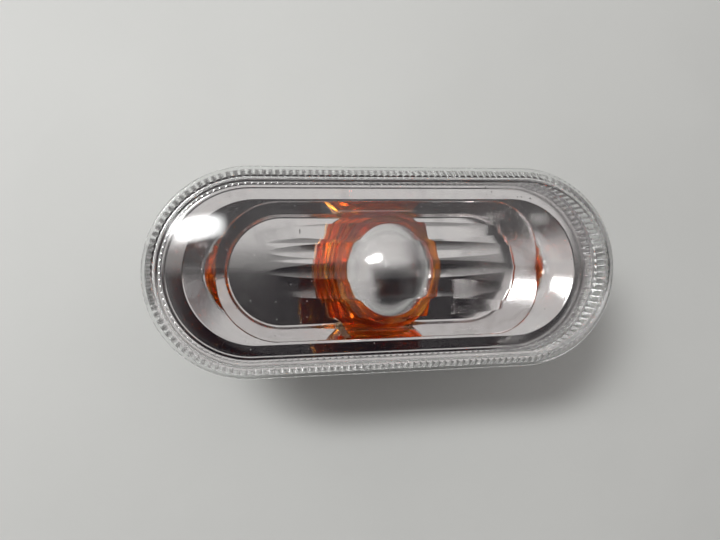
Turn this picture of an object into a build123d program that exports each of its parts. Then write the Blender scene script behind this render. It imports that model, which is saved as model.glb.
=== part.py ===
from build123d import *
import math
import os

# Side repeater lamp. Millimetres. The seat plane, where the lip lies on the wing's sheet, is z = 0.
# +Z looks out of the car, +X runs along the lamp, the fixed hook is at -X and the spring tongue at +X.

# Outer lens
LENS_LENGTH = 94.0
LENS_WIDTH = 40.0
LIP_THICKNESS = 1.4
LIP_WIDTH = 1.3
LIP_ROUND = 0.5
LIP_CHAMFER = 0.3
CROWN_HEIGHT = 6.8
CROWN_DROP = 3.0
SHOULDER_WIDTH = 3.0
SHOULDER_LAND = 0.2
LENS_WALL = 2.2
INNER_ROUND = 0.4
SKIRT_WALL = 1.3
SKIRT_DEPTH = 3.2
KNURL_PITCH = 1.27
KNURL_DEPTH = 0.35
KNURL_TOP = 1.2
FLUTE_COUNT = 5
FLUTE_PITCH = 3.6
FLUTE_LAND = 0.16
FLUTE_RADIUS = 15.0
FLUTE_HALF_LENGTH = 24.0

# Room left between pieces that are welded, staked or pressed onto each other
SEAT_GAP = 0.03

# Reflector body
LEDGE_DEPTH = 2.8
LEDGE_GAP = 1.35
LEDGE_WIDTH = 2.25
END_LEDGE_EXTRA = 0.9
BEVEL_ANGLE = 38.0
BEVEL_WIDTH = 3.2
ROLL_RADIUS = 8.0
ROLL_ANGLE = 74.0
EDGE_ROUND = 0.45
TROUGH_INSET = 0.35
CREST_INSET = 4.23
FLOOR_DEPTH = 16.9
SIDE_DRAFT = 1.25
END_DRAFT = 1.47
FLOOR_ROUND = 0.6
BODY_WALL = 1.8
FLANGE_THICKNESS = 2.0
FLANGE_INSET = 0.4
BULB_HOLE_RADIUS = 6.3
NECK_BORE_RADIUS = 7.5
NECK_WALL = 2.0
NECK_LENGTH = 3.8
WINDOW_WIDTH = 4.4
WINDOW_HEIGHT = 1.9
WINDOW_DROP = 1.0
HOOK_WIDTH = 11.0
HOOK_REACH = 1.3
HOOK_GUSSET_SPACING = 7.0
GUSSET_THICKNESS = 1.2
GUSSET_HEIGHT = 5.0
GUSSET_SPACING = 14.0
GUSSET_SETBACK = 0.5
TONGUE_WIDTH = 9.0
TONGUE_THICKNESS = 0.9
TONGUE_GAP = 0.25
TONGUE_NOSE = 0.45
TONGUE_NOSE_HEIGHT = 1.2
TONGUE_RAMP = 2.0
TONGUE_TOP_GAP = 0.2
TONGUE_ROOT_DEPTH = 14.5
TONGUE_BEND = 2.4

# Amber filter and its mirror cap
FILTER_TIERS = 5
FILTER_RIM_RADIUS = 10.8
FILTER_BASE_RADIUS = 14.0
FILTER_RIM_DEPTH = 3.7
FILTER_WALL = 1.9
TIER_LEAN = 0.2
FILTER_CLEARANCE = 0.25
STAKE_RADIUS = 0.8
STAKE_CLEARANCE = 0.1
STAKE_HEAD_RADIUS = 1.6
STAKE_HEAD_HEIGHT = 0.8
STAKE_HEAD_ROUND = 0.55
CAP_RADIUS = 8.75
CAP_SEAT_DEPTH = 2.2
CAP_EDGE = 0.3
CAP_RISE = 4.2
CAP_WALL = 1.0
CAP_SPIGOT_WALL = 1.0
CAP_SPIGOT_LENGTH = 1.7
CAP_SPIGOT_INSET = 1.25
CAP_CLEARANCE = 0.1
CAP_SEAT_MARGIN = 0.15

# Bulb
BULB_RADIUS = 5.1
BULB_LENGTH = 26.8
BULB_TIP_GAP = 1.8
GLASS_WALL = 0.6
BASE_WIDTH = 9.4
BASE_THICKNESS = 2.2
BASE_LENGTH = 8.7
SHOULDER_LENGTH = 2.8
FILAMENT_DROP = 9.8
FILAMENT_RADIUS = 0.3
WIRE_RADIUS = 0.25
WIRE_OFFSET = 2.2
WIRE_RETURN = 6.0

# Bulb holder, seal and contacts
HOLDER_CLEARANCE = 0.2
SEAL_THICKNESS = 1.2
SEAL_CHAMFER = 0.3
HOLDER_FLANGE_RADIUS = 10.6
HOLDER_FLANGE_THICKNESS = 1.9
HOLDER_LENGTH = 18.0
HOLDER_WIDTH = 11.0
HOLDER_ROUND = 2.0
LUG_REACH = 1.1
LUG_CLEARANCE = 0.2
POCKET_CLEARANCE = 0.25
BEND_ROOM = 0.05
WEB_THICKNESS = 1.6
SOCKET_DEPTH = 6.4
SOCKET_WALL = 1.5
CONTACT_THICKNESS = 0.5
CONTACT_WIDTH = 3.0
CONTACT_GAP = 0.02
CONTACT_OVERRUN = 1.0
BLADE_THICKNESS = 0.8
BLADE_WIDTH = 2.8
BLADE_OFFSET = 4.2
BLADE_LENGTH = 5.2
GRIP_COUNT = 5
GRIP_PITCH = 2.6
GRIP_WIDTH = 1.1
GRIP_PROUD = 0.5
GRIP_MARGIN = 1.4

# Radii measured from the lamp's long axis, and heights from the seat plane
rim_radius = LENS_WIDTH / 2
rim_half = (LENS_LENGTH - LENS_WIDTH) / 2
skirt_radius = rim_radius - LIP_WIDTH
skirt_bore = skirt_radius - SKIRT_WALL
flange_radius = skirt_radius - FLANGE_INSET
ledge_radius = skirt_bore - LEDGE_GAP
mouth_radius = ledge_radius - LEDGE_WIDTH
pocket_half = rim_half - END_LEDGE_EXTRA
trough_half = pocket_half - CREST_INSET
trough_radius = mouth_radius - TROUGH_INSET
floor_half = trough_half - END_DRAFT
floor_radius = trough_radius - SIDE_DRAFT
ledge_z = -LEDGE_DEPTH
weld_z = -SKIRT_DEPTH
flange_top = weld_z - SEAT_GAP
flange_z = flange_top - FLANGE_THICKNESS
floor_z = -FLOOR_DEPTH
foot_z = floor_z + SEAT_GAP
back_z = floor_z - BODY_WALL
neck_z = back_z - NECK_LENGTH
holder_z = neck_z - SEAL_THICKNESS
holder_back_z = holder_z - HOLDER_FLANGE_THICKNESS
cap_z = -CAP_SEAT_DEPTH
filter_top = cap_z - SEAT_GAP
bulb_tip_z = cap_z + BULB_TIP_GAP
bulb_end_z = bulb_tip_z - BULB_LENGTH
base_top_z = bulb_end_z + BASE_LENGTH
wire_y = BASE_THICKNESS / 2 + WIRE_RADIUS
pocket_z = bulb_end_z - wire_y / 2 - WIRE_RADIUS - BEND_ROOM
socket_z = pocket_z - WEB_THICKNESS
rear_z = socket_z - SOCKET_DEPTH

# Extra length of a cut past the face that it opens
OVERCUT = 1.0

# How near an edge lies to the surface that it is looked for on
EDGE_MATCH = 0.01


def outline(points):
    """Face bounded by straight lines through the points."""
    return make_face(Polyline(*points, close=True))


def along_stadium(section, half):
    """Solid with this half section, drawn as (distance from the long axis, height), round a stadium."""
    left = Plane(origin=(-half, 0, 0), x_dir=(0, 1, 0), z_dir=(1, 0, 0))
    right = Plane(origin=(half, 0, 0), x_dir=(0, -1, 0), z_dir=(-1, 0, 0))
    side = extrude(left * section, amount=2 * half, dir=(1, 0, 0))
    left_end = revolve(left * section, axis=Axis((-half, 0, 0), (0, 0, 1)), revolution_arc=180)
    right_end = revolve(right * section, axis=Axis((half, 0, 0), (0, 0, 1)), revolution_arc=180)
    return side + mirror(side, about=Plane.XZ) + left_end + right_end


def turned(points):
    """Solid of revolution about the lamp's centre axis from (radius, height) points."""
    return revolve(Plane.XZ * outline(points), axis=Axis.Z)


def disc(radius, low, high):
    """Round slab about the lamp's centre axis between two heights."""
    return extrude(Pos(0, 0, low) * Circle(radius), amount=high - low, dir=(0, 0, 1))


def slab(x_range, y_range, z_range):
    """Rectangular block between the given limits."""
    size = [high - low for low, high in (x_range, y_range, z_range)]
    middle = [(high + low) / 2 for low, high in (x_range, y_range, z_range)]
    return Pos(*middle) * Box(*size)


def stadium_point(distance, half, radius, out):
    """Point a given way round a stadium's outline, moved outward by out."""
    straight = 2 * half
    arc = math.pi * radius
    way = distance % (2 * (straight + arc))
    if way < straight:
        return (way - half, -radius - out)
    way = way - straight
    if way < arc:
        turn = way / radius - math.pi / 2
        return (half + (radius + out) * math.cos(turn), (radius + out) * math.sin(turn))
    way = way - arc
    if way < straight:
        return (half - way, radius + out)
    turn = (way - straight) / radius + math.pi / 2
    return (-half + (radius + out) * math.cos(turn), (radius + out) * math.sin(turn))


# Outer lens: crowned face, rounded shoulder, thin lip, knurled skirt
crown_edge = rim_radius - SHOULDER_WIDTH
crown_radius = (crown_edge**2 + CROWN_DROP**2) / (2 * CROWN_DROP)
crown_centre = CROWN_HEIGHT - crown_radius
inner_radius = crown_radius - LENS_WALL
inner_edge = crown_edge - INNER_ROUND


def crown_z(distance, radius):
    """Height of a crown arc at a distance from the long axis."""
    return crown_centre + math.sqrt(radius**2 - distance**2)


lip_top = rim_radius - LIP_ROUND
shoulder_foot = lip_top - SHOULDER_LAND
crown = ThreePointArc(
    (0, CROWN_HEIGHT),
    (crown_edge / 2, crown_z(crown_edge / 2, crown_radius)),
    (crown_edge, crown_z(crown_edge, crown_radius)),
)
shoulder = TangentArc(crown @ 1, (shoulder_foot, LIP_THICKNESS), tangent=crown % 1)
lip_edge = Line((shoulder_foot, LIP_THICKNESS), (lip_top, LIP_THICKNESS))
lip_round = RadiusArc((lip_top, LIP_THICKNESS), (rim_radius, LIP_THICKNESS - LIP_ROUND), LIP_ROUND)
lens_back = Polyline(
    (rim_radius, LIP_THICKNESS - LIP_ROUND),
    (rim_radius, LIP_CHAMFER),
    (rim_radius - LIP_CHAMFER, 0),
    (skirt_radius, 0),
    (skirt_radius, weld_z),
    (0, weld_z),
    (0, CROWN_HEIGHT),
)
lens_full = along_stadium(make_face([crown, shoulder, lip_edge, lip_round, lens_back]), rim_half)

inner_crown = ThreePointArc(
    (inner_edge, crown_z(inner_edge, inner_radius)),
    (inner_edge / 2, crown_z(inner_edge / 2, inner_radius)),
    (0, crown_z(0, inner_radius)),
)
inner_wall = Polyline(
    (0, crown_z(0, inner_radius)),
    (0, weld_z - OVERCUT),
    (skirt_bore, weld_z - OVERCUT),
    (skirt_bore, KNURL_TOP),
)
inner_round = TangentArc(inner_wall @ 1, inner_crown @ 0, tangent=(0, 1))
lens_hollow = along_stadium(make_face([inner_crown, inner_wall, inner_round]), rim_half)

knurl_way = 4 * rim_half + 2 * math.pi * skirt_bore
knurl_count = round(knurl_way / KNURL_PITCH)
knurl_step = knurl_way / knurl_count
knurl_arcs = [
    ThreePointArc(
        stadium_point(turn * knurl_step, rim_half, skirt_bore, 0),
        stadium_point((turn + 0.5) * knurl_step, rim_half, skirt_bore, KNURL_DEPTH),
        stadium_point((turn + 1) % knurl_count * knurl_step, rim_half, skirt_bore, 0),
    )
    for turn in range(knurl_count)
]
knurl_face = Pos(0, 0, weld_z - OVERCUT) * make_face(knurl_arcs)
knurl = extrude(knurl_face, amount=KNURL_TOP - weld_z + OVERCUT, dir=(0, 0, 1))

flute_half_turn = (FLUTE_PITCH - FLUTE_LAND) / 2 / inner_radius
flute_edge = (inner_radius * math.sin(flute_half_turn), inner_radius * math.cos(flute_half_turn))
flute_axis_z = flute_edge[1] + math.sqrt(FLUTE_RADIUS**2 - flute_edge[0] ** 2)
flute_depth = inner_radius + FLUTE_RADIUS - flute_axis_z
flute_arc = (FLUTE_HALF_LENGTH**2 + flute_depth**2) / (2 * flute_depth)
flute_ring = Rot(90, 0, 0) * Torus(flute_arc - FLUTE_RADIUS, FLUTE_RADIUS)
flute = Pos(0, 0, inner_radius - flute_depth + flute_arc) * flute_ring
hollow_half = split(lens_hollow, bisect_by=Plane.YZ)
for row in range(FLUTE_COUNT):
    flute_turn = math.degrees((row - (FLUTE_COUNT - 1) / 2) * FLUTE_PITCH / inner_radius)
    hollow_half = hollow_half - Pos(0, 0, crown_centre) * Rot(flute_turn, 0, 0) * flute

outer_lens = lens_full - (hollow_half + mirror(hollow_half, about=Plane.YZ)) - knurl


# Reflector body: weld flange, ledge, end crescents, drafted trough, neck, hook and tongue
def trough_level(height):
    """Half length of the straight sides and radius of the ends of the trough's wall at a height."""
    share = (height - floor_z) / (ledge_z - floor_z)
    half = floor_half + share * (trough_half - floor_half)
    radius = floor_radius + share * (trough_radius - floor_radius)
    return half, radius


def trough(inset, top, low):
    """Drafted trough shape, its walls moved inward by inset, between two heights."""
    levels = []
    for height in (low, top):
        half, radius = trough_level(height)
        levels.append(Pos(0, 0, height) * SlotCenterToCenter(2 * half, 2 * (radius - inset)))
    return loft(levels, ruled=True)


def off_axis(point, half):
    """Distance of a point from the long axis between the centres of a stadium's two ends."""
    return math.hypot(max(abs(point.X) - half, 0), point.Y)


slope = math.tan(math.radians(BEVEL_ANGLE))
bevel_foot = (mouth_radius - BEVEL_WIDTH, ledge_z - BEVEL_WIDTH * slope)
roll = [math.radians(angle) for angle in (BEVEL_ANGLE, ROLL_ANGLE)]
roll_in = ROLL_RADIUS * (math.sin(roll[1]) - math.sin(roll[0]))
roll_down = ROLL_RADIUS * (math.cos(roll[0]) - math.cos(roll[1]))
roll_foot = (bevel_foot[0] - roll_in, bevel_foot[1] - roll_down)
bevel_line = Line((mouth_radius, ledge_z), bevel_foot)
crest_roll = TangentArc(bevel_foot, roll_foot, tangent=bevel_line % 1)
pocket_back = Polyline(
    roll_foot,
    (0, roll_foot[1]),
    (0, OVERCUT),
    (mouth_radius, OVERCUT),
    (mouth_radius, ledge_z),
)
pocket_face = make_face([bevel_line, crest_roll, pocket_back])
shell_shift = BODY_WALL / math.cos(roll[0])
shell_edge = mouth_radius - (ledge_z - shell_shift - flange_z) / slope
shell_low = ledge_z - shell_shift - (mouth_radius - roll_foot[0]) * slope
shell_face = outline(
    [
        (0, ledge_z),
        (shell_edge, ledge_z),
        (shell_edge, flange_z),
        (roll_foot[0], shell_low),
        (0, shell_low),
    ]
)


def plate(radius, low, high):
    """Flat stadium plate between two heights."""
    return along_stadium(outline([(0, high), (radius, high), (radius, low), (0, low)]), rim_half)


flange = plate(flange_radius, flange_z, flange_top)
ledge = plate(ledge_radius, flange_z, ledge_z)
neck_radius = NECK_BORE_RADIUS + NECK_WALL

hook_tip = -rim_half - flange_radius - HOOK_REACH
hook = slab((hook_tip, -rim_half - ledge_radius), (-HOOK_WIDTH / 2, HOOK_WIDTH / 2), (flange_z, flange_top))


def gusset(tip, root):
    """Triangular web under the flange, from its tip inward to the trough, as a solid in the XZ plane."""
    side = outline([(tip, flange_z), (root, flange_z), (root, flange_z - GUSSET_HEIGHT)])
    return extrude(Plane.XZ * side, amount=GUSSET_THICKNESS / 2, both=True)


hook_gusset = gusset(hook_tip + GUSSET_SETBACK, -floor_half - floor_radius)
side_gusset = Rot(0, 0, 90) * gusset(flange_radius - GUSSET_SETBACK, floor_radius)
gussets = [Pos(0, turn * HOOK_GUSSET_SPACING / 2, 0) * hook_gusset for turn in (-1, 1)]
for step in (-1, 0, 1):
    gussets.append(Pos(step * GUSSET_SPACING, 0, 0) * side_gusset)
    gussets.append(Pos(step * GUSSET_SPACING, 0, 0) * Rot(0, 0, 180) * side_gusset)

tongue_in = rim_half + flange_radius + TONGUE_GAP
tongue_out = tongue_in + TONGUE_THICKNESS
tongue_top = flange_top - TONGUE_TOP_GAP
tongue_mid = tongue_in + TONGUE_THICKNESS / 2
tongue_path = FilletPolyline(
    (floor_half + floor_radius + BODY_WALL / 2, -TONGUE_ROOT_DEPTH),
    (tongue_mid, -TONGUE_ROOT_DEPTH),
    (tongue_mid, tongue_top),
    radius=TONGUE_BEND,
)
nose_low = tongue_top - TONGUE_NOSE_HEIGHT
tongue_nose = outline(
    [
        (tongue_mid, nose_low - TONGUE_RAMP),
        (tongue_out, nose_low - TONGUE_RAMP),
        (tongue_out + TONGUE_NOSE, nose_low),
        (tongue_out + TONGUE_NOSE, tongue_top),
        (tongue_mid, tongue_top),
    ]
)
tongue_side = trace(tongue_path, line_width=TONGUE_THICKNESS) + tongue_nose
tongue = extrude(Plane.XZ * tongue_side, amount=TONGUE_WIDTH / 2, both=True)

stake_x = FILTER_BASE_RADIUS - FILTER_WALL / 2
stake_pins = [Pos(side * stake_x, 0, 0) for side in (-1, 1)]
window_high = back_z - WINDOW_DROP
window = slab(
    (-WINDOW_WIDTH / 2, WINDOW_WIDTH / 2),
    (-neck_radius - OVERCUT, neck_radius + OVERCUT),
    (window_high - WINDOW_HEIGHT, window_high),
)

reflector_body = flange + ledge + along_stadium(shell_face, pocket_half)
reflector_body = reflector_body + trough(-BODY_WALL, ledge_z, back_z)
reflector_body = reflector_body + disc(neck_radius, neck_z, back_z) + hook + tongue
for web in gussets:
    reflector_body = reflector_body + web
recess = trough(0, OVERCUT, floor_z)
recess_foot = recess.faces().sort_by(Axis.Z)[0].edges()
recess = fillet(recess_foot, FLOOR_ROUND)
pocket_space = along_stadium(pocket_face, pocket_half)
reflector_space = pocket_space + recess
crest_edges = new_edges(pocket_space, recess, combined=reflector_space)
reflector_space = fillet(crest_edges, EDGE_ROUND)
reflector_body = reflector_body - reflector_space
mouth_edges = [
    edge
    for edge in reflector_body.edges().filter_by_position(Axis.Z, ledge_z, ledge_z)
    if abs(off_axis(edge @ 0.5, pocket_half) - mouth_radius) < EDGE_MATCH
]
reflector_body = fillet(mouth_edges, EDGE_ROUND)
reflector_body = reflector_body - disc(BULB_HOLE_RADIUS, back_z - OVERCUT, floor_z + OVERCUT)
reflector_body = reflector_body - disc(NECK_BORE_RADIUS, neck_z - OVERCUT, back_z) - window
for pin in stake_pins:
    stake_hole = disc(STAKE_RADIUS + STAKE_CLEARANCE, back_z - OVERCUT, floor_z + OVERCUT)
    reflector_body = reflector_body - pin * stake_hole

# Amber filter: stepped cover, trimmed to the trough, staked through its floor
spigot_radius = CAP_RADIUS - CAP_SPIGOT_INSET
opening_radius = spigot_radius + CAP_CLEARANCE
tier_height = (-FILTER_RIM_DEPTH - foot_z) / FILTER_TIERS
tier_step = (FILTER_BASE_RADIUS - FILTER_RIM_RADIUS) / (FILTER_TIERS - 1)
tier_points = [(0, filter_top), (CAP_RADIUS + CAP_SEAT_MARGIN, filter_top)]
for tier in range(FILTER_TIERS):
    tier_radius = FILTER_RIM_RADIUS + tier * tier_step
    tier_points.append((tier_radius, -FILTER_RIM_DEPTH - tier * tier_height))
    tier_points.append((tier_radius + TIER_LEAN, -FILTER_RIM_DEPTH - (tier + 1) * tier_height))
tier_points.append((0, foot_z))
hollow_top = filter_top - FILTER_WALL
hollow_points = [
    (0, cap_z + OVERCUT),
    (opening_radius, cap_z + OVERCUT),
    (opening_radius, hollow_top),
    (FILTER_RIM_RADIUS - FILTER_WALL, -FILTER_RIM_DEPTH - FILTER_WALL),
    (FILTER_BASE_RADIUS - FILTER_WALL, floor_z),
    (FILTER_BASE_RADIUS - FILTER_WALL, floor_z - OVERCUT),
    (0, floor_z - OVERCUT),
]
foot_inset = FILTER_CLEARANCE + FLOOR_ROUND
filter_space = trough(foot_inset, OVERCUT, floor_z)
bulb_space = trough(foot_inset + FILTER_WALL, OVERCUT, floor_z - OVERCUT)
amber_filter = (turned(tier_points) & filter_space) - (turned(hollow_points) & bulb_space)
for pin in stake_pins:
    head = pin * disc(STAKE_HEAD_RADIUS, back_z - STAKE_HEAD_HEIGHT, back_z)
    head = fillet(head.faces().sort_by(Axis.Z)[0].edges(), STAKE_HEAD_ROUND)
    stake = pin * disc(STAKE_RADIUS, back_z - STAKE_HEAD_HEIGHT / 2, floor_z + FILTER_WALL / 2)
    amber_filter = amber_filter + stake + head

# Mirror cap: domed shell with a spigot in the filter's top opening
dome_radius = (CAP_RADIUS**2 + CAP_RISE**2) / (2 * CAP_RISE)
dome_z = cap_z + CAP_EDGE + CAP_RISE - dome_radius
inner_dome = dome_radius - CAP_WALL
cap_bore = spigot_radius - CAP_SPIGOT_WALL
spigot_z = cap_z - CAP_SPIGOT_LENGTH
dome_top = ThreePointArc(
    (CAP_RADIUS, cap_z + CAP_EDGE),
    (CAP_RADIUS / 2, dome_z + math.sqrt(dome_radius**2 - CAP_RADIUS**2 / 4)),
    (0, dome_z + dome_radius),
)
dome_under = ThreePointArc(
    (0, dome_z + inner_dome),
    (cap_bore / 2, dome_z + math.sqrt(inner_dome**2 - cap_bore**2 / 4)),
    (cap_bore, dome_z + math.sqrt(inner_dome**2 - cap_bore**2)),
)
cap_axis = Line(dome_top @ 1, dome_under @ 0)
cap_foot = Polyline(
    dome_under @ 1,
    (cap_bore, spigot_z),
    (spigot_radius, spigot_z),
    (spigot_radius, cap_z),
    (CAP_RADIUS, cap_z),
    (CAP_RADIUS, cap_z + CAP_EDGE),
)
chrome_cap = revolve(Plane.XZ * make_face([dome_top, cap_axis, dome_under, cap_foot]), axis=Axis.Z)

# Bulb: blown envelope on a pinched wedge base, lead-in wires folded up on the base, filament between them
shoulder_z = base_top_z + SHOULDER_LENGTH
wire_top = bulb_tip_z - FILAMENT_DROP


def lead_wire(side):
    """Lead-in wire on one side: from the filament down through the base and up its flat face."""
    bend = wire_y / 2
    x = side * WIRE_OFFSET
    end_y = side * wire_y
    down = Line((x, 0, wire_top), (x, 0, bulb_end_z))
    turn = ThreePointArc((x, 0, bulb_end_z), (x, end_y / 2, bulb_end_z - bend), (x, end_y, bulb_end_z))
    up = Line((x, end_y, bulb_end_z), (x, end_y, bulb_end_z + WIRE_RETURN))
    start = Plane(origin=(x, 0, wire_top), z_dir=(0, 0, -1)) * Circle(WIRE_RADIUS)
    return sweep(start, path=Wire([down, turn, up]))


lead_wire_a = lead_wire(1)
lead_wire_b = lead_wire(-1)

tip_centre = bulb_tip_z - BULB_RADIUS


def blown(radius):
    """Round-tipped tube from the bulb's tip down to its shoulder."""
    return disc(radius, shoulder_z, tip_centre) + Pos(0, 0, tip_centre) * Sphere(radius)


pinch_top = Pos(0, 0, shoulder_z) * Circle(BULB_RADIUS)
pinch_foot = Pos(0, 0, base_top_z) * Ellipse(BASE_WIDTH / 2, BASE_THICKNESS / 2)
pinch = loft([pinch_foot, pinch_top])
base_block = slab(
    (-BASE_WIDTH / 2, BASE_WIDTH / 2),
    (-BASE_THICKNESS / 2, BASE_THICKNESS / 2),
    (bulb_end_z, base_top_z),
)
bulb_glass = blown(BULB_RADIUS) + pinch + base_block - blown(BULB_RADIUS - GLASS_WALL)
bulb_glass = bulb_glass - lead_wire_a - lead_wire_b

filament_span = 2 * (WIRE_OFFSET - WIRE_RADIUS)
filament_z = wire_top - 2 * FILAMENT_RADIUS
bulb_filament = Pos(0, 0, filament_z) * Rot(0, 90, 0) * Cylinder(FILAMENT_RADIUS, filament_span)

# Contacts: a finger on the base's wire, a link in the web and a blade in the socket
finger_in = wire_y + WIRE_RADIUS + CONTACT_GAP
finger_out = finger_in + CONTACT_THICKNESS
link_z = pocket_z - WEB_THICKNESS / 2
finger = slab(
    (WIRE_OFFSET - CONTACT_WIDTH / 2, WIRE_OFFSET + CONTACT_WIDTH / 2),
    (finger_in, finger_out),
    (link_z, bulb_end_z + WIRE_RETURN + CONTACT_OVERRUN),
)
link = slab(
    (WIRE_OFFSET - CONTACT_WIDTH / 2, BLADE_OFFSET + BLADE_THICKNESS / 2),
    (-BLADE_WIDTH / 2, finger_out),
    (link_z - CONTACT_THICKNESS / 2, link_z + CONTACT_THICKNESS / 2),
)
blade = slab(
    (BLADE_OFFSET - BLADE_THICKNESS / 2, BLADE_OFFSET + BLADE_THICKNESS / 2),
    (-BLADE_WIDTH / 2, BLADE_WIDTH / 2),
    (socket_z - BLADE_LENGTH, link_z),
)
contact_a = finger + link + blade
contact_b = Rot(0, 0, 180) * contact_a

# Holder: nose in the neck, flange on the seal, pocket for the bulb's base, socket for the plug
nose_radius = NECK_BORE_RADIUS - HOLDER_CLEARANCE
nose_z = back_z - HOLDER_CLEARANCE
lug_high = window_high - LUG_CLEARANCE
lugs = slab(
    (-WINDOW_WIDTH / 2 + LUG_CLEARANCE, WINDOW_WIDTH / 2 - LUG_CLEARANCE),
    (-nose_radius - LUG_REACH, nose_radius + LUG_REACH),
    (window_high - WINDOW_HEIGHT + LUG_CLEARANCE, lug_high),
)
rear_face = Pos(0, 0, rear_z) * RectangleRounded(HOLDER_LENGTH, HOLDER_WIDTH, HOLDER_ROUND)
socket_face = Pos(0, 0, rear_z) * RectangleRounded(
    HOLDER_LENGTH - 2 * SOCKET_WALL,
    HOLDER_WIDTH - 2 * SOCKET_WALL,
    HOLDER_ROUND - SOCKET_WALL / 2,
)
pocket = slab(
    (-BASE_WIDTH / 2 - POCKET_CLEARANCE, BASE_WIDTH / 2 + POCKET_CLEARANCE),
    (-finger_out - POCKET_CLEARANCE, finger_out + POCKET_CLEARANCE),
    (pocket_z, nose_z + OVERCUT),
)
holder_flange = disc(HOLDER_FLANGE_RADIUS, holder_back_z, holder_z)
bulb_holder = disc(nose_radius, holder_z, nose_z) + lugs + holder_flange
bulb_holder = bulb_holder + extrude(rear_face, amount=holder_back_z - rear_z, dir=(0, 0, 1))
for rib in range(GRIP_COUNT):
    rib_x = (rib - (GRIP_COUNT - 1) / 2) * GRIP_PITCH
    bulb_holder = bulb_holder + slab(
        (rib_x - GRIP_WIDTH / 2, rib_x + GRIP_WIDTH / 2),
        (-HOLDER_WIDTH / 2 - GRIP_PROUD, HOLDER_WIDTH / 2 + GRIP_PROUD),
        (rear_z + GRIP_MARGIN, holder_back_z),
    )
bulb_holder = bulb_holder - pocket - extrude(socket_face, amount=SOCKET_DEPTH, dir=(0, 0, 1))
bulb_holder = bulb_holder - contact_a - contact_b

seal_bore = nose_radius + HOLDER_CLEARANCE / 2
seal_rim = neck_radius - HOLDER_CLEARANCE / 2
holder_seal = turned(
    [
        (seal_bore, neck_z),
        (seal_rim - SEAL_CHAMFER, neck_z),
        (seal_rim, neck_z - SEAL_CHAMFER),
        (seal_rim, holder_z + SEAL_CHAMFER),
        (seal_rim - SEAL_CHAMFER, holder_z),
        (seal_bore, holder_z),
    ]
)

nodes = {
    "outer_lens": outer_lens,
    "reflector_body": reflector_body,
    "amber_filter": amber_filter,
    "chrome_cap": chrome_cap,
    "bulb_glass": bulb_glass,
    "bulb_filament": bulb_filament,
    "lead_wire_a": lead_wire_a,
    "lead_wire_b": lead_wire_b,
    "bulb_holder": bulb_holder,
    "contact_a": contact_a,
    "contact_b": contact_b,
    "holder_seal": holder_seal,
}
os.makedirs("parts", exist_ok=True)
for name, solid in nodes.items():
    export_step(solid, f"parts/{name}.step")
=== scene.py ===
import math

import bpy
from bpy.props import FloatProperty, FloatVectorProperty, PointerProperty
from bpy.types import Operator, Panel, PropertyGroup
from mathutils import Matrix, Vector


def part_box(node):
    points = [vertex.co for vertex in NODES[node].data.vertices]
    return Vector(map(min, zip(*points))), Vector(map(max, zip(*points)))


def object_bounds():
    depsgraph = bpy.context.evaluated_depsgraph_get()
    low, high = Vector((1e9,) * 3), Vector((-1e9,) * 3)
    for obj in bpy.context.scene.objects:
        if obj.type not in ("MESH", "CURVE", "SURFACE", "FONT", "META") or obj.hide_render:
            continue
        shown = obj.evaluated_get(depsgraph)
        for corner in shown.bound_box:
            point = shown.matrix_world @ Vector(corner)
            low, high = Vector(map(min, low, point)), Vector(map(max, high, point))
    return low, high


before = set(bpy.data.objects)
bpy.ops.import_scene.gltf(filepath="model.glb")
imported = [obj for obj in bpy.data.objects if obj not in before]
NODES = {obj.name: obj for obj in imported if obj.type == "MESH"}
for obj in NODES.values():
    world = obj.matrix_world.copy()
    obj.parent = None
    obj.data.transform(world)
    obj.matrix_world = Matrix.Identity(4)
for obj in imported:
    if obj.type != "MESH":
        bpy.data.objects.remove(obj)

bl_info = {
    "name": "Side repeater lamp",
    "version": (1, 0, 0),
    "blender": (4, 5, 0),
    "location": "View3D > Sidebar > Lamp",
    "description": "Finishes and studio for an oblong side repeater lamp",
    "category": "Object",
}

MM = 0.001
CAD_BOX = [list(corner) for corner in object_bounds()]

# Inside of the reflector, in metres, as the solids have it
LEDGE_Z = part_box("reflector_body")[1].z
WELD_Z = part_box("outer_lens")[0].z
RIM_HALF = 27.0 * MM
SKIRT_BORE = 17.4 * MM
FLANGE_RADIUS = 18.3 * MM
POCKET_HALF = 26.1 * MM
MOUTH_RADIUS = 13.8 * MM
BEVEL_SLOPE = math.tan(math.radians(38.0))
TROUGH_HALF = 21.87 * MM
TROUGH_RADIUS = 13.45 * MM
FLOOR_HALF = 20.4 * MM
FLOOR_RADIUS = 12.2 * MM
FLOOR_Z = -16.9 * MM
BODY_WALL = 1.8 * MM

# How far the metal coat, and the dull land on it, reach past their faces
WELD_SLACK = 0.1 * MM
FLANGE_SLACK = 0.05 * MM
LAND_SLACK = 0.2 * MM
BEVEL_SLACK = 0.6 * BODY_WALL
TROUGH_SLACK = 0.5 * BODY_WALL

# Thin triangles fan out here from the middle of the lens's round ends
POLE_RADIUS = 2.0 * MM

# Grain of the moulded plastics and waves of the mirror, heights in mm
GRAIN_SIZE = 0.35 * MM
GRAIN_HEIGHT = 0.015
WAVE_SIZE = 7 * MM
WAVE_HEIGHT = 0.002

# Roughness of the bare mirror, and what each mark on it adds
MIRROR_ROUGH = 0.03
SMUDGE_ROUGH = 0.06
FILM_ROUGH = 0.12
DUST_ROUGH = 0.5
GRIME_ROUGH = 0.6
LAND_ROUGH = 0.3

# Size of the cells that may hold a speck of dust, and the share that do
FINE_DUST = (1.1 * MM, 0.22)
COARSE_DUST = (1.9 * MM, 0.06)
SPECK_EDGE = 0.16
SPECK_CORE = 0.06

# Where the dusty film sets in along the lamp, and over the floor
FILM_X = (17.0 * MM, 26.0 * MM)
FILM_FLOOR_Z = (-15.0 * MM, -16.0 * MM)
FILM_LEFT_SHARE = 0.55

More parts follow.
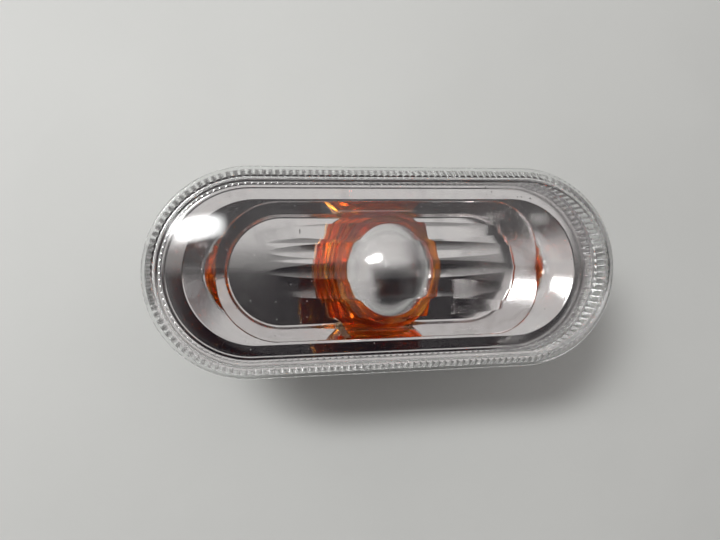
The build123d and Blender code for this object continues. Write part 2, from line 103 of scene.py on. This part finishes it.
# Patch of grime on the wall
GRIME_X = -8.5 * MM
GRIME_SPAN = 1.0 * MM
GRIME_RAGGED = 1.6
GRIME_EDGE = (0.1, 0.3)
GRIME_WALL_Y = (-11.2 * MM, -11.8 * MM)
GRIME_TOP_Z = (-4.0 * MM, -5.5 * MM)

# Bright colour, tarnished colour and least roughness of the bare metals
TUNGSTEN = ((0.33, 0.33, 0.35), (0.2, 0.2, 0.22), 0.35)
LEAD_WIRE = ((0.66, 0.6, 0.48), (0.4, 0.33, 0.24), 0.3)
CONTACT_BRASS = ((0.78, 0.58, 0.27), (0.5, 0.34, 0.14), 0.22)

# Places of a Mix node's two inputs and its output, by the kind of data
MIX_SOCKETS = {"VECTOR": (4, 5, 1), "RGBA": (6, 7, 2)}

FLOOR_SPAN = 8.0
FLOOR_FADE = (0.2, 0.7)

KEY_AIM = Vector((-0.485, 0.385, 0.785))
KEY_DISTANCE = 0.7
KEY_SIZE = (0.4, 0.19)
KEY_FADE_GAIN = 4.0

# Room: its lit ceiling and walls, its dim walls towards +X and -Y,
# and where one turns into the other
ROOM_TINT = (1.0, 0.965, 0.955)
WALL_TINT = (0.33, 0.31, 0.32)
CEILING_RISE = (0.4, 0.85)
LIT_SIDE = (-0.6, 0.4)

# Dark card overhead with a grey border, by the slopes x/z and y/z of the directions that it hides
LEAST_RISE = 0.05
CARD_LOWEST = 0.06
CARD_LEFT = (-1.0, -0.4)
CARD_NEAR = (-9.0, -5.0)
CARD_SIDE = 0.7
CARD_SIDE_BLUR = 0.3
GREY_EDGE = 0.045
GREY_BLUR = 0.006
GREY_SHARE = 0.38
DARK_EDGE = 0.01
DARK_BLUR = 0.02
DARK_TINT = (0.012, 0.01, 0.013)

# Light bounces, for all the walls of lens, cover and bulb on the way in and out
CLEAR_BOUNCES = 40
MIRROR_BOUNCES = 20


class LampFinish(PropertyGroup):
    """Colours and surfaces of the lamp's pieces."""

    lens_tint: FloatVectorProperty(
        name="Lens tint",
        description="Colour of the clear plastic",
        subtype="COLOR",
        default=(0.955, 0.965, 0.96),
    )
    lens_ior: FloatProperty(
        name="Lens IOR",
        description="Refraction of the clear plastic",
        default=1.49,
    )
    mirror_tint: FloatVectorProperty(
        name="Mirror tint",
        description="Colour of the metal coat",
        subtype="COLOR",
        default=(0.84, 0.82, 0.82),
    )
    amber_deep: FloatVectorProperty(
        name="Amber, deep",
        description="Amber where it is thick",
        subtype="COLOR",
        default=(0.98, 0.2, 0.02),
    )
    amber_light: FloatVectorProperty(
        name="Amber, light",
        description="Amber where it is thin",
        subtype="COLOR",
        default=(1.0, 0.46, 0.05),
    )
    body_tint: FloatVectorProperty(
        name="Body plastic",
        description="Bare plastic of the body's back",
        subtype="COLOR",
        default=(0.5, 0.5, 0.49),
    )
    black_tint: FloatVectorProperty(
        name="Black plastic",
        description="Colour of the bulb holder",
        subtype="COLOR",
        default=(0.018, 0.018, 0.02),
    )
    dust_tint: FloatVectorProperty(
        name="Dust",
        description="Colour of the dust specks",
        subtype="COLOR",
        default=(0.42, 0.41, 0.4),
    )
    dirt_tint: FloatVectorProperty(
        name="Dirt",
        description="Colour of the grime on the wall",
        subtype="COLOR",
        default=(0.24, 0.25, 0.21),
    )


class LampStage(PropertyGroup):
    """Floor, light and camera round the lamp."""

    floor_tint: FloatVectorProperty(
        name="Floor",
        description="Colour of the floor",
        subtype="COLOR",
        default=(0.62, 0.63, 0.61),
    )
    key_power: FloatProperty(
        name="Key lamp",
        description="Power of the soft lamp",
        unit="POWER",
        default=3.4,
    )
    room_level: FloatProperty(
        name="Room",
        description="Brightness of the pale room",
        default=0.69,
    )
    camera_lens: FloatProperty(
        name="Camera lens",
        description="Focal length, mm",
        default=30.0,
    )
    camera_yaw: FloatProperty(
        name="Camera yaw",
        description="Turn about Y",
        subtype="ANGLE",
        default=math.radians(9.87),
    )
    camera_pitch: FloatProperty(
        name="Camera pitch",
        description="Turn about X",
        subtype="ANGLE",
        default=math.radians(-0.15),
    )
    camera_roll: FloatProperty(
        name="Camera roll",
        description="Turn about the view",
        subtype="ANGLE",
        default=math.radians(1.19),
    )
    camera_place: FloatVectorProperty(
        name="Camera place",
        description="Where the camera stands",
        subtype="TRANSLATION",
        default=(-26.41 * MM, -0.25 * MM, 115.17 * MM),
    )


class Field:
    """A number that varies over a surface, built up from Math nodes."""

    def __init__(self, tree, socket):
        self.tree = tree
        self.socket = socket

    def math(self, operation, *others):
        """What a Math node makes of this value and the others."""
        node = self.tree.nodes.new("ShaderNodeMath")
        node.operation = operation
        for place, value in enumerate((self, *others)):
            feed(self.tree, node.inputs[place], value)
        return Field(self.tree, node.outputs[0])

    def __add__(self, other):
        return self.math("ADD", other)

    def __sub__(self, other):
        return self.math("SUBTRACT", other)

    def __mul__(self, other):
        return self.math("MULTIPLY", other)

    def __truediv__(self, other):
        return self.math("DIVIDE", other)

    def over(self, limit):
        """1 where the value is above the limit, else 0."""
        return self.math("GREATER_THAN", limit)

    def under(self, limit):
        """1 where the value is below the limit, else 0."""
        return self.math("LESS_THAN", limit)

    def most(self, other):
        """The larger of two values."""
        return self.math("MAXIMUM", other)

    def pick(self, first, second):
        """The first value where this one is 0, the second where it is 1."""
        return first + (second - first) * self

    def spread(self, low, high, to_low=0.0, to_high=1.0):
        """The value eased from low..high to to_low..to_high, held at both ends."""
        node = self.tree.nodes.new("ShaderNodeMapRange")
        node.interpolation_type = "SMOOTHSTEP"
        limits = {"From Min": low, "From Max": high, "To Min": to_low, "To Max": to_high}
        for name, value in {"Value": self, **limits}.items():
            feed(self.tree, node.inputs[name], value)
        return Field(self.tree, node.outputs["Result"])


def feed(tree, socket, value):
    """Sets an input from a number, a colour, a Field or a socket."""
    if isinstance(value, Field):
        value = value.socket
    if isinstance(value, bpy.types.NodeSocket):
        tree.links.new(value, socket)
    elif isinstance(socket.default_value, float):
        socket.default_value = value
    elif len(socket.default_value) == 4:
        socket.default_value = (*value, 1.0)
    else:
        socket.default_value = value


def split(tree, vector):
    """Fields of a vector's X, Y and Z."""
    node = tree.nodes.new("ShaderNodeSeparateXYZ")
    feed(tree, node.inputs[0], vector)
    return [Field(tree, node.outputs[axis]) for axis in "XYZ"]


def distance(x, y):
    """Field of the length of two legs at a right angle."""
    return (x * x + y * y).math("SQRT")


def mix(tree, kind, share, first, second):
    """Colour or vector between two others by a share."""
    node = tree.nodes.new("ShaderNodeMix")
    node.data_type = kind
    low, high, out = MIX_SOCKETS[kind]
    for place, value in ((0, share), (low, first), (high, second)):
        feed(tree, node.inputs[place], value)
    return node.outputs[out]


def shade(tint, share):
    """A colour made darker or lighter by a share."""
    return tuple(min(share * part, 1.0) for part in tint)


class Finish:
    """A new material, with short calls for the nodes that the finishes share."""

    def __init__(self, name):
        self.material = bpy.data.materials.new(name)
        self.material.use_nodes = True
        self.tree = self.material.node_tree
        self.tree.nodes.clear()
        self.out = self.tree.nodes.new("ShaderNodeOutputMaterial")
        self.place = self.tree.nodes.new("ShaderNodeTexCoord").outputs["Object"]

    def node(self, kind, **inputs):
        """Node with inputs set by feed. A name's _ stands for a blank."""
        node = self.tree.nodes.new(kind)
        for name, value in inputs.items():
            feed(self.tree, node.inputs[name.replace("_", " ")], value)
        return node

    def axes(self):
        """Fields of the place along X, Y and Z, in metres."""
        return split(self.tree, self.place)

    def noise(self, size, detail=2.0, stretch=(1, 1, 1)):
        """Soft noise with features of about this size in metres."""
        place = self.node("ShaderNodeMapping", Vector=self.place, Scale=stretch).outputs[0]
        noise = self.node("ShaderNodeTexNoise", Vector=place, Scale=1 / size, Detail=detail)
        return Field(self.tree, noise.outputs["Fac"])

    def specks(self, size, share):
        """1 on small round spots, a given share of cells of this size, else 0."""
        cells = self.node("ShaderNodeTexVoronoi", Vector=self.place, Scale=1 / size)
        near = Field(self.tree, cells.outputs["Distance"]).spread(SPECK_EDGE, SPECK_CORE)
        draw = self.node("ShaderNodeSeparateColor", Color=cells.outputs["Color"])
        return near * Field(self.tree, draw.outputs[0]).over(1 - share)

    def bump(self, height, depth):
        """Normal for a height field of this depth in metres."""
        node = self.node("ShaderNodeBump", Height=height, Distance=depth, Strength=1.0)
        return node.outputs["Normal"]

    def flatten(self, share, normal):
        """The normal turned by a share to that of the flat triangle."""
        flat = self.node("ShaderNodeNewGeometry").outputs["True Normal"]
        return mix(self.tree, "VECTOR", share, normal, flat)

    def blend(self, share, first, second):
        """Colour between two colours by a share."""
        return mix(self.tree, "RGBA", share, first, second)

    def surface(self, **inputs):
        """Principled shader with the given inputs."""
        return self.node("ShaderNodeBsdfPrincipled", **inputs).outputs[0]

    def layer(self, share, first, second):
        """Shader between two shaders by a share."""
        node = self.node("ShaderNodeMixShader", Fac=share)
        self.tree.links.new(first, node.inputs[1])
        self.tree.links.new(second, node.inputs[2])
        return node.outputs[0]

    def close(self, shader):
        """The material, with this shader on its surface."""
        self.tree.links.new(shader, self.out.inputs["Surface"])
        return self.material


def clear_plastic(look):
    """Moulded clear lens: faint tint, faint waves and hazy handling marks."""
    finish = Finish("clear_plastic")
    haze = finish.noise(6 * MM, 4).spread(0.5, 0.75, 0.0, 0.02)
    waves = finish.bump(finish.noise(9 * MM, 1), 0.01 * MM)
    x, y, _ = finish.axes()
    at_pole = distance(x.math("ABSOLUTE") - RIM_HALF, y).under(POLE_RADIUS)
    return finish.close(
        finish.surface(
            Base_Color=tuple(look.lens_tint),
            IOR=look.lens_ior,
            Transmission_Weight=1.0,
            Roughness=haze,
            Normal=finish.flatten(at_pole, waves),
        )
    )


def mirror_fields(finish):
    """1 on the coated inside of the reflector, and 1 on its dull weld land, else 0."""
    x, y, z = finish.axes()
    far_x = x.math("ABSOLUTE")

    def off_axis(half):
        """Distance from the middle line of a stadium of this half length."""
        return distance((far_x - half).most(0.0), y)

    edge = off_axis(RIM_HALF)
    top = z.over(WELD_Z - WELD_SLACK) * edge.under(FLANGE_RADIUS + FLANGE_SLACK)
    land = top * edge.over(SKIRT_BORE - LAND_SLACK)
    bevel_z = (off_axis(POCKET_HALF) - MOUTH_RADIUS) * BEVEL_SLOPE + LEDGE_Z
    bevel = (z - bevel_z).over(-BEVEL_SLACK)
    share = (z - FLOOR_Z) / (LEDGE_Z - FLOOR_Z)
    wall_half = share * (TROUGH_HALF - FLOOR_HALF) + FLOOR_HALF
    wall_radius = share * (TROUGH_RADIUS - FLOOR_RADIUS) + FLOOR_RADIUS
    within = (wall_radius - off_axis(wall_half)).over(-TROUGH_SLACK)
    trough = within * z.over(FLOOR_Z - TROUGH_SLACK)
    return top.most(bevel).most(trough), land


def film_field(finish):
    """1 where dust dulls the right end of the mirror, less on the left of its floor, else 0."""
    x, _, z = finish.axes()
    left = (x * -1.0).spread(*FILM_X, 0.0, FILM_LEFT_SHARE) * z.spread(*FILM_FLOOR_Z)
    return x.spread(*FILM_X).most(left)


def grime_field(finish):
    """1 on a ragged patch of dirt on the trough's wall beside the amber cover, else 0."""
    x, y, z = finish.axes()
    ragged = (finish.noise(1.3 * MM, 5) - 0.5) * GRIME_RAGGED
    patch_x = (x - GRIME_X) / GRIME_SPAN
    reach = (patch_x * patch_x * -1.0 + 1.0) * 0.5 + ragged
    return reach.spread(*GRIME_EDGE) * y.spread(*GRIME_WALL_Y) * z.spread(*GRIME_TOP_Z)


def reflector_finish(look):
    """Vacuum-metallised inside with smudges, dust and grime, plain grained plastic behind."""
    finish = Finish("metallised_plastic")
    coat, land = mirror_fields(finish)
    smudge = finish.noise(5 * MM, 5).spread(0.48, 0.8)
    dust = finish.specks(*FINE_DUST).most(finish.specks(*COARSE_DUST)) * coat
    film = film_field(finish)
    grime = grime_field(finish)
    mirror = finish.blend(smudge, tuple(look.mirror_tint), shade(look.mirror_tint, 0.85))
    mirror = finish.blend(dust, mirror, tuple(look.dust_tint))
    mottle = finish.noise(0.5 * MM, 4).spread(0.35, 0.65)
    dirt = finish.blend(mottle, tuple(look.dirt_tint), shade(look.dirt_tint, 3.6))
    cloud = finish.noise(8 * MM, 4)
    plastic = finish.blend(cloud, tuple(look.body_tint), shade(look.body_tint, 0.85))
    marks = smudge * SMUDGE_ROUGH + film * FILM_ROUGH + dust * DUST_ROUGH + grime * GRIME_ROUGH
    mirror_rough = marks + land * LAND_ROUGH + MIRROR_ROUGH
    grain = finish.noise(GRAIN_SIZE, 3)
    waves = finish.noise(WAVE_SIZE, 1)
    return finish.close(
        finish.surface(
            Base_Color=finish.blend(coat, plastic, finish.blend(grime, mirror, dirt)),
            Metallic=coat,
            Roughness=coat.pick(grain * 0.2 + 0.4, mirror_rough),
            Normal=finish.bump(coat.pick(grain * GRAIN_HEIGHT, waves * WAVE_HEIGHT), MM),
        )
    )


def amber_plastic(look):
    """Clear amber cover, redder and deeper in patches, with faint flow lines."""
    finish = Finish("amber_plastic")
    depth = finish.noise(4 * MM, 3).spread(0.35, 0.7)
    flow = finish.noise(1.5 * MM, 2, (1, 1, 0.2))
    return finish.close(
        finish.surface(
            Base_Color=finish.blend(depth, tuple(look.amber_light), tuple(look.amber_deep)),
            IOR=1.58,
            Transmission_Weight=1.0,
            Roughness=depth * 0.05 + 0.11,
            Normal=finish.bump(flow, 0.003 * MM),
        )
    )


def chrome_dome(look):
    """Bright cap with fine wipe marks."""
    finish = Finish("bright_chrome")
    wipe = finish.noise(3 * MM, 5, (1, 0.3, 1)).spread(0.5, 0.8)
    return finish.close(
        finish.surface(
            Base_Color=finish.blend(wipe, tuple(look.mirror_tint), shade(look.mirror_tint, 0.9)),
            Metallic=1.0,
            Roughness=wipe * 0.06 + 0.19,
            Normal=finish.bump(finish.noise(4 * MM, 1), 0.001 * MM),
        )
    )


def bulb_glass():
    """Thin blown glass, a little wavy."""
    finish = Finish("bulb_glass")
    return finish.close(
        finish.surface(
            Base_Color=(0.97, 0.98, 0.98),
            IOR=1.5,
            Transmission_Weight=1.0,
            Roughness=finish.noise(3 * MM, 2).spread(0.5, 0.9, 0.0, 0.08),
            Normal=finish.bump(finish.noise(2 * MM, 1), 0.03 * MM),
        )
    )


def drawn_metal(name, bright, dull, roughness):
    """Drawn or stamped metal with streaks along Z and tarnish."""
    finish = Finish(name)
    streak = finish.noise(0.3 * MM, 3, (1, 1, 0.1))
    tarnish = finish.noise(2 * MM, 4).spread(0.4, 0.7)
    return finish.close(
        finish.surface(
            Base_Color=finish.blend(tarnish, bright, dull),
            Metallic=1.0,
            Roughness=streak * 0.25 + roughness,
            Normal=finish.bump(streak, 0.01 * MM),
        )
    )


def holder_plastic(look):
    """Black injection-moulded plastic with a fine spark-eroded grain."""
    finish = Finish("black_plastic")
    grain = finish.noise(GRAIN_SIZE, 3)
    wear = finish.noise(8 * MM, 4).spread(0.45, 0.8)
    return finish.close(
        finish.surface(
            Base_Color=finish.blend(wear, tuple(look.black_tint), shade(look.black_tint, 2.2)),
            Roughness=grain * 0.2 + 0.36,
            Normal=finish.bump(grain, GRAIN_HEIGHT * MM),
        )
    )


def seal_rubber():
    """Dull black rubber with bloom."""
    finish = Finish("seal_rubber")
    bloom = finish.noise(1.2 * MM, 5).spread(0.45, 0.75)
    return finish.close(
        finish.surface(
            Base_Color=finish.blend(bloom, (0.015, 0.015, 0.015), (0.05, 0.05, 0.048)),
            Roughness=bloom * 0.15 + 0.7,
            Normal=finish.bump(finish.noise(0.2 * MM, 3), 0.02 * MM),
        )
    )


def dress(material, *nodes):
    """Gives solids their finish."""
    for node in nodes:
        NODES[node].data.materials.clear()
        NODES[node].data.materials.append(material)


class LAMP_OT_lens(Operator):
    """Finish the clear outer lens"""

    bl_idname = "lamp.lens"
    bl_label = "Outer lens"

    def execute(self, context):
        dress(clear_plastic(context.scene.lamp_finish), "outer_lens")
        return {"FINISHED"}


class LAMP_OT_reflector(Operator):
    """Finish the reflector body: mirror inside, plain plastic behind"""

    bl_idname = "lamp.reflector"
    bl_label = "Reflector body"

    def execute(self, context):
        dress(reflector_finish(context.scene.lamp_finish), "reflector_body")
        return {"FINISHED"}


class LAMP_OT_filter(Operator):
    """Finish the amber cover and its mirror cap"""

    bl_idname = "lamp.filter"
    bl_label = "Amber cover and cap"

    def execute(self, context):
        look = context.scene.lamp_finish
        dress(amber_plastic(look), "amber_filter")
        dress(chrome_dome(look), "chrome_cap")
        return {"FINISHED"}


class LAMP_OT_bulb(Operator):
    """Finish the bulb's glass, filament and lead-in wires"""

    bl_idname = "lamp.bulb"
    bl_label = "Bulb"

    def execute(self, context):
        dress(bulb_glass(), "bulb_glass")
        dress(drawn_metal("tungsten", *TUNGSTEN), "bulb_filament")
        dress(drawn_metal("lead_wire", *LEAD_WIRE), "lead_wire_a", "lead_wire_b")
        return {"FINISHED"}


class LAMP_OT_holder(Operator):
    """Finish the bulb holder, its contacts and the seal"""

    bl_idname = "lamp.holder"
    bl_label = "Holder, contacts and seal"

    def execute(self, context):
        dress(holder_plastic(context.scene.lamp_finish), "bulb_holder")
        dress(drawn_metal("contact_brass", *CONTACT_BRASS), "contact_a", "contact_b")
        dress(seal_rubber(), "holder_seal")
        return {"FINISHED"}


class LAMP_OT_stage(Operator):
    """Set up the floor, the soft light and the camera"""

    bl_idname = "lamp.stage"
    bl_label = "Stage"

    def execute(self, context):
        stage = context.scene.lamp_stage
        lay_floor(stage)
        light_room(stage)
        hang_key_lamp(stage)
        place_camera(stage)
        context.scene.view_settings.view_transform = "Standard"
        trace_clear_plastics(context.scene.cycles)
        return {"FINISHED"}


def lay_floor(stage):
    """Wide pale floor under the lamp, that runs out into the backdrop's colour."""
    half = FLOOR_SPAN / 2
    corners = [(x * half, y * half, CAD_BOX[0][2]) for x, y in ((-1, -1), (1, -1), (1, 1), (-1, 1))]
    mesh = bpy.data.meshes.new("floor")
    mesh.from_pydata(corners, [], [(0, 1, 2, 3)])
    floor = bpy.data.objects.new("floor", mesh)
    bpy.context.scene.collection.objects.link(floor)
    mesh.materials.append(floor_finish(tuple(stage.floor_tint)))


def floor_finish(tint):
    """Faintly clouded paper, and the backdrop's plain colour far from the lamp."""
    finish = Finish("floor")
    cloud = finish.noise(60 * MM, 4).spread(0.3, 0.7)
    paper = finish.surface(Base_Color=finish.blend(cloud, tint, shade(tint, 0.96)), Roughness=0.6)
    backdrop = finish.node("ShaderNodeEmission", Color=tint).outputs[0]
    x, y, _ = finish.axes()
    far = distance(x, y).spread(*FLOOR_FADE)
    ray = finish.node("ShaderNodeLightPath").outputs
    seen = Field(finish.tree, ray["Is Camera Ray"])
    for kind in ("Is Glossy Ray", "Is Transmission Ray"):
        seen = seen.most(Field(finish.tree, ray[kind]))
    return finish.close(finish.layer(far * seen, paper, backdrop))


def light_room(stage):
    """Pale room with dim walls towards +X and -Y, and a dark card overhead for the mirrors."""
    world = bpy.data.worlds.new("room")
    bpy.context.scene.world = world
    world.use_nodes = True
    tree = world.node_tree
    tree.nodes.clear()
    x, y, z = split(tree, tree.nodes.new("ShaderNodeTexCoord").outputs["Generated"])
    rise = z.most(LEAST_RISE)
    slope_x, slope_y = x / rise, y / rise
    card = slope_x.spread(*CARD_LEFT) * slope_y.spread(*CARD_NEAR) * z.over(CARD_LOWEST)
    side_blur = (slope_x.math("ABSOLUTE") - CARD_SIDE).most(0.0) * CARD_SIDE_BLUR

    def behind(edge, blur):
        """1 behind an edge across the card, with a blur that grows to the sides."""
        return ((slope_y - edge) / (side_blur + blur)).spread(1.0, -1.0) * card

    ceiling, wall = [[stage.room_level * c for c in tint] for tint in (ROOM_TINT, WALL_TINT)]
    lit = z.spread(*CEILING_RISE).most((y - x).spread(*LIT_SIDE))
    room = mix(tree, "RGBA", lit, wall, ceiling)
    grey = [GREY_SHARE * c for c in ceiling]
    room = mix(tree, "RGBA", behind(GREY_EDGE, GREY_BLUR), room, grey)
    room = mix(tree, "RGBA", behind(DARK_EDGE, DARK_BLUR), room, DARK_TINT)
    to_camera = tree.nodes.new("ShaderNodeLightPath").outputs["Is Camera Ray"]
    glow = tree.nodes.new("ShaderNodeBackground")
    feed(tree, glow.inputs["Color"], mix(tree, "RGBA", to_camera, room, stage.floor_tint))
    out = tree.nodes.new("ShaderNodeOutputWorld")
    feed(tree, out.inputs["Surface"], glow.outputs[0])


def hang_key_lamp(stage):
    """Strip lamp up and to the left, its long side along X, that fades towards its edges."""
    data = bpy.data.lights.new("key_lamp", "AREA")
    data.shape = "RECTANGLE"
    data.size, data.size_y = KEY_SIZE
    data.energy = stage.key_power
    data.use_nodes = True
    tree = data.node_tree
    strength = tree.nodes["Emission"].inputs["Strength"]
    along, across, _ = split(tree, tree.nodes.new("ShaderNodeNewGeometry").outputs["Parametric"])

    def fade(place):
        """1 half way over the lamp, 0 at both its edges."""
        return place.spread(0.0, 0.5) * place.spread(1.0, 0.5)

    feed(tree, strength, fade(along) * fade(across) * KEY_FADE_GAIN)
    lamp = bpy.data.objects.new("key_lamp", data)
    bpy.context.scene.collection.objects.link(lamp)
    aim = KEY_AIM.normalized()
    side = (Vector((1, 0, 0)) - aim * aim.x).normalized()
    turn = Matrix((side, aim.cross(side), aim)).transposed().to_4x4()
    lamp.matrix_world = Matrix.Translation(aim * KEY_DISTANCE) @ turn


def trace_clear_plastics(cycles):
    """Lets light pass through all the walls of lens, cover and bulb."""
    cycles.max_bounces = CLEAR_BOUNCES
    cycles.transmission_bounces = CLEAR_BOUNCES
    cycles.glossy_bounces = MIRROR_BOUNCES


def place_camera(stage):
    """Camera above the lens, a little to the left."""
    data = bpy.data.cameras.new("camera")
    data.lens = stage.camera_lens
    data.clip_start = 5 * MM
    camera = bpy.data.objects.new("camera", data)
    bpy.context.scene.collection.objects.link(camera)
    turn = (
        Matrix.Rotation(-stage.camera_yaw, 4, "Y")
        @ Matrix.Rotation(-stage.camera_pitch, 4, "X")
        @ Matrix.Rotation(-stage.camera_roll, 4, "Z")
    )
    camera.matrix_world = Matrix.Translation(stage.camera_place) @ turn
    bpy.context.scene.camera = camera


OPERATORS = (
    LAMP_OT_lens,
    LAMP_OT_reflector,
    LAMP_OT_filter,
    LAMP_OT_bulb,
    LAMP_OT_holder,
    LAMP_OT_stage,
)


class LAMP_PT_panel(Panel):
    """Lists the lamp's pieces and its stage"""

    bl_idname = "LAMP_PT_panel"
    bl_label = "Side repeater lamp"
    bl_space_type = "VIEW_3D"
    bl_region_type = "UI"
    bl_category = "Lamp"

    def draw(self, context):
        for operator in OPERATORS:
            self.layout.operator(operator.bl_idname)
        for group in (context.scene.lamp_finish, context.scene.lamp_stage):
            box = self.layout.box()
            for name in group.__annotations__:
                box.prop(group, name)


GROUPS = {"lamp_finish": LampFinish, "lamp_stage": LampStage}
CLASSES = (*GROUPS.values(), *OPERATORS, LAMP_PT_panel)


def register():
    for cls in CLASSES:
        bpy.utils.register_class(cls)
    for name, group in GROUPS.items():
        setattr(bpy.types.Scene, name, PointerProperty(type=group))


def unregister():
    for name in GROUPS:
        delattr(bpy.types.Scene, name)
    for cls in reversed(CLASSES):
        bpy.utils.unregister_class(cls)


def main():
    register()
    bpy.ops.lamp.lens()
    bpy.ops.lamp.reflector()
    bpy.ops.lamp.filter()
    bpy.ops.lamp.bulb()
    bpy.ops.lamp.holder()
    bpy.ops.lamp.stage()


if __name__ == "__main__":
    main()
